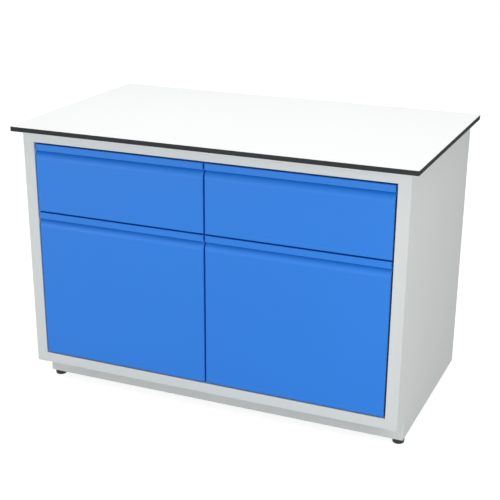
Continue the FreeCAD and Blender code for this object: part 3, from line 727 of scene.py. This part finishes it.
# blind rivets that hold the runners to the drawer boxes
rivetSettings = {
    "headRadius": 0.0042,
    "headHeight": 0.0014,
    "rimShare": 0.15,  # of the head's height, where the dome ends
    "holeRadius": 0.0011,
    "holeFloor": 0.3,  # share of the head's height
    "tailRadius": 0.0031,
    "tailHeight": 0.0008,
    "shankShare": 0.6,  # of the tail's radius, as is the next
    "tailEndShare": 0.85,
    "runnerSheet": 0.0012,
    "boxSheet": 0.001,
    "segments": 32,
    "fromRunnerFront": (0.035, 0.16, 0.44, 0.565),
}


def makeRivetMesh(settings):
    # along Z: domed head with its open middle above zero, formed tail under both sheets
    radius, height, hole = settings["headRadius"], settings["headHeight"], settings["holeRadius"]
    rim, holeFloor = settings["rimShare"], height * settings["holeFloor"]
    tail = settings["tailRadius"]
    shank, tailEnd = tail * settings["shankShare"], tail * settings["tailEndShare"]
    under = -settings["runnerSheet"] - settings["boxSheet"]
    bottom = under - settings["tailHeight"]
    outline = [(0.0, holeFloor), (hole, holeFloor), (hole, height)]
    outline += [(hole + (radius - hole) * sine, height * (rim + (1 - rim) * cosine))
                for sine, cosine in quarterTurn()]
    outline += [(radius, 0.0), (shank, 0.0), (shank, under), (tail, under), (tailEnd, bottom),
                (0.0, bottom)]
    build = bmesh.new()
    addTurned(build, outline, settings["segments"])
    return meshOf(build, "rivetMesh")


def placeRivets(drawerName, mesh, settings):
    trayLow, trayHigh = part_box("drawer_tray_" + drawerName)
    build = bmesh.new()
    for low, high in solidBoxes("drawer_rails_" + drawerName):
        outward = 1 if low.x + high.x > trayLow.x + trayHigh.x else -1
        face = (trayHigh.x if outward > 0 else trayLow.x) + outward * settings["runnerSheet"]
        turn = Matrix.Rotation(math.radians(90 * outward), 4, "Y")
        for distance in settings["fromRunnerFront"]:
            place = Vector((face, low.y + distance, (low.z + high.z) / 2))
            addCopy(build, mesh, Matrix.Translation(place) @ turn)
    addPiece("runner_rivets_" + drawerName, build, "drawer_" + drawerName)


rivetMesh = makeRivetMesh(rivetSettings)
for drawerName in drawerNames:
    placeRivets(drawerName, rivetMesh, rivetSettings)
print("rivets placed")


# levelling feet: a threaded stem on a pressed disc
stemSettings = {
    "segments": 32,
    "discHeight": 0.004,
    "discEdge": 0.0009,
    "discBend": 0.3,  # share of the edge at which its two chamfers meet
    "neckRadius": 0.0039,
    "neckTop": 0.021,
    "neckFillet": ((0.0008, 0.0), (0.0002, 0.0003), (0.0, 0.0008)),  # out from the neck, up the disc
    "threadRadius": 0.0049,
    "threadDepth": 0.00092,
    "threadPitch": 0.0015,
    "threadSegments": 32,
    "tip": 0.0012,
    "tipSlope": 0.6,
}


def makeStem(footName, settings):
    name = "foot_stem_" + footName
    low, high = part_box(name)
    wide = (high.x - low.x) / 2
    edge, neck, neckTop = settings["discEdge"], settings["neckRadius"], settings["neckTop"]
    bend = edge * settings["discBend"]
    discTop = low.z + settings["discHeight"]
    outline = [(0.0, low.z), (wide - edge, low.z), (wide - bend, low.z + bend), (wide, low.z + edge),
               (wide, discTop - edge), (wide - bend, discTop - bend), (wide - edge, discTop)]
    outline += [(neck + out, discTop + up) for out, up in settings["neckFillet"]]
    outline += [(neck, neckTop), (0.0, neckTop)]
    build = bmesh.new()
    addTurned(build, outline, settings["segments"])
    addThread(build, settings["threadRadius"], neckTop + threadGap, high.z, settings)
    middle = Vector(((low.x + high.x) / 2, (low.y + high.y) / 2, 0))
    bmesh.ops.translate(build, vec=middle, verts=build.verts)
    addPiece(name + "_threaded", build, "foot_screw_" + footName, name)


# lock nuts
nutSettings = {
    "acrossFlats": 0.016,
    "landShare": 0.97,  # of the distance to the flats, level on both faces
    "slope": 0.55,  # of the cone that turns the corners off
    "bore": 0.00518,  # radius
    "sink": 0.0005,
    "segments": 72,
}


def makeNutMesh(settings, thick):
    # a hexagon whose corners are turned off by a flat cone, with a countersunk bore
    across, bore, sink = settings["acrossFlats"] / 2, settings["bore"], settings["sink"]
    land = across * settings["landShare"]
    build = bmesh.new()
    rings = []
    for step in range(settings["segments"]):
        angle = 2 * math.pi * step / settings["segments"]
        reach = across / math.cos(math.remainder(angle, math.pi / 3))
        drop = (reach - land) * settings["slope"]
        outline = ((bore, sink), (bore + sink, 0.0), (land, 0.0), (reach, drop), (reach, thick - drop),
                   (land, thick), (bore + sink, thick), (bore, thick - sink))
        rings.append([build.verts.new((radius * math.cos(angle), radius * math.sin(angle), height))
                      for radius, height in outline])
    for ring, following in zip(rings, rings[1:] + rings[:1]):
        for step in range(len(ring)):
            build.faces.new((ring[step - 1], following[step - 1], following[step], ring[step]))
    return meshOf(build, "nutMesh")


def placeNuts(settings):
    boxes = solidBoxes("foot_lock_nuts")
    firstLow, firstHigh = boxes[0]
    mesh = makeNutMesh(settings, firstHigh.z - firstLow.z)
    build = bmesh.new()
    for low, high in boxes:
        place = Vector(((low.x + high.x) / 2, (low.y + high.y) / 2, low.z))
        addCopy(build, mesh, Matrix.Translation(place))
    addPiece("foot_lock_nuts_chamfered", build, "bench_case", "foot_lock_nuts")


for footName in footNames:
    makeStem(footName, stemSettings)
placeNuts(nutSettings)
print("feet detailed")


# soft lamps
lampSettings = {
    "ceilingSoftbox": {
        "place": (0.0, -0.3, 3.6), "aim": (0, 0, 0.4), "size": (4.0, 3.0), "power": 68},
    "frontSoftbox": {
        "place": (0.3, -4.5, 0.8), "aim": (0, 0, 0.5), "size": (5.0, 1.4), "power": 45},
    "leftSoftbox": {
        "place": (-2.6, -3.0, 1.0), "aim": (-0.4, 0, 0.5), "size": (1.6, 1.2), "power": 19.5},
    "rightSoftbox": {
        "place": (2.2, -1.5, 1.3), "aim": (0.5, -0.2, 0.6), "size": (1.0, 1.0), "power": 15.5},
    "rearSoftbox": {
        "place": (0.0, 3.4, 0.45), "aim": (0, 0, 0.45), "size": (1.6, 0.8), "power": 20},
}


def makeLamp(name, settings):
    data = bpy.data.lights.new(name, "AREA")
    data.shape = "RECTANGLE"
    data.size, data.size_y = settings["size"]
    data.energy = settings["power"]
    lamp = newObject(name, data)
    lamp.location = settings["place"]
    aim = Vector(settings["aim"]) - Vector(settings["place"])
    lamp.rotation_euler = aim.to_track_quat("-Z", "Y").to_euler()


def bySight(tree, lighting, seen):
    # one shader for the rays that carry light, another where it is seen, mirrored or seen through
    path = addNode(tree, "ShaderNodeLightPath")
    sight = path.outputs["Is Camera Ray"]
    for name in ("Is Glossy Ray", "Is Transmission Ray"):
        sight = mathNode(tree, "MAXIMUM", sight, path.outputs[name])
    return addNode(tree, "ShaderNodeMixShader", {0: sight, 1: lighting, 2: seen}).outputs[0]


# white surroundings, and an even sky for the rays that carry light
worldSettings = {
    "ambient": 0.446,
    "seen": 1.0,
}


def makeWorld(settings):
    world = bpy.data.worlds.new("paleStudio")
    bpy.context.scene.world = world
    tree = emptyTree(world)
    skies = [addNode(tree, "ShaderNodeBackground", {"Color": (1, 1, 1, 1), "Strength": settings[name]})
             for name in ("ambient", "seen")]
    surface = bySight(tree, skies[0].outputs[0], skies[1].outputs[0])
    addNode(tree, "ShaderNodeOutputWorld", {"Surface": surface})
    arrangeNodes(tree)


# a pale floor that lights the bench like white card and shows its shadow only softly
floorSettings = {
    "halfWidth": 30.0,
    "cells": 8,
    "colour": 0.6,
    "shadowColour": 0.3,
    "lift": 0.88,
    "clouds": (0.8, 2, 0.5),
    "cloudShade": 0.01,
}


def mattGrey(tree, mask, level, change):
    shades = [(*(level + side * change,) * 3, 1) for side in (-1, 1)]
    colour = blended(tree, mask, *shades)
    return addNode(tree, "ShaderNodeBsdfDiffuse", {"Color": colour}).outputs[0]


def makeFloor(settings):
    build = bmesh.new()
    bmesh.ops.create_grid(build, x_segments=settings["cells"], y_segments=settings["cells"],
                          size=settings["halfWidth"])
    floor = newObject("paleFloor", meshOf(build, "paleFloor"))
    material = bpy.data.materials.new("paleFloor")
    tree = emptyTree(material)
    clouds = noiseOf(tree, objectSpace(tree), *settings["clouds"])
    lighting, shadow = [mattGrey(tree, clouds, settings[name], settings["cloudShade"])
                        for name in ("colour", "shadowColour")]
    lift = addNode(tree, "ShaderNodeEmission", {"Strength": settings["lift"]})
    seen = addNode(tree, "ShaderNodeAddShader", {0: shadow, 1: lift.outputs[0]})
    surface = bySight(tree, lighting, seen.outputs[0])
    addNode(tree, "ShaderNodeOutputMaterial", {"Surface": surface})
    arrangeNodes(tree)
    floor.data.materials.append(material)


makeWorld(worldSettings)
for lampName, settings in lampSettings.items():
    makeLamp(lampName, settings)
makeFloor(floorSettings)
print("studio ready")


print("done")
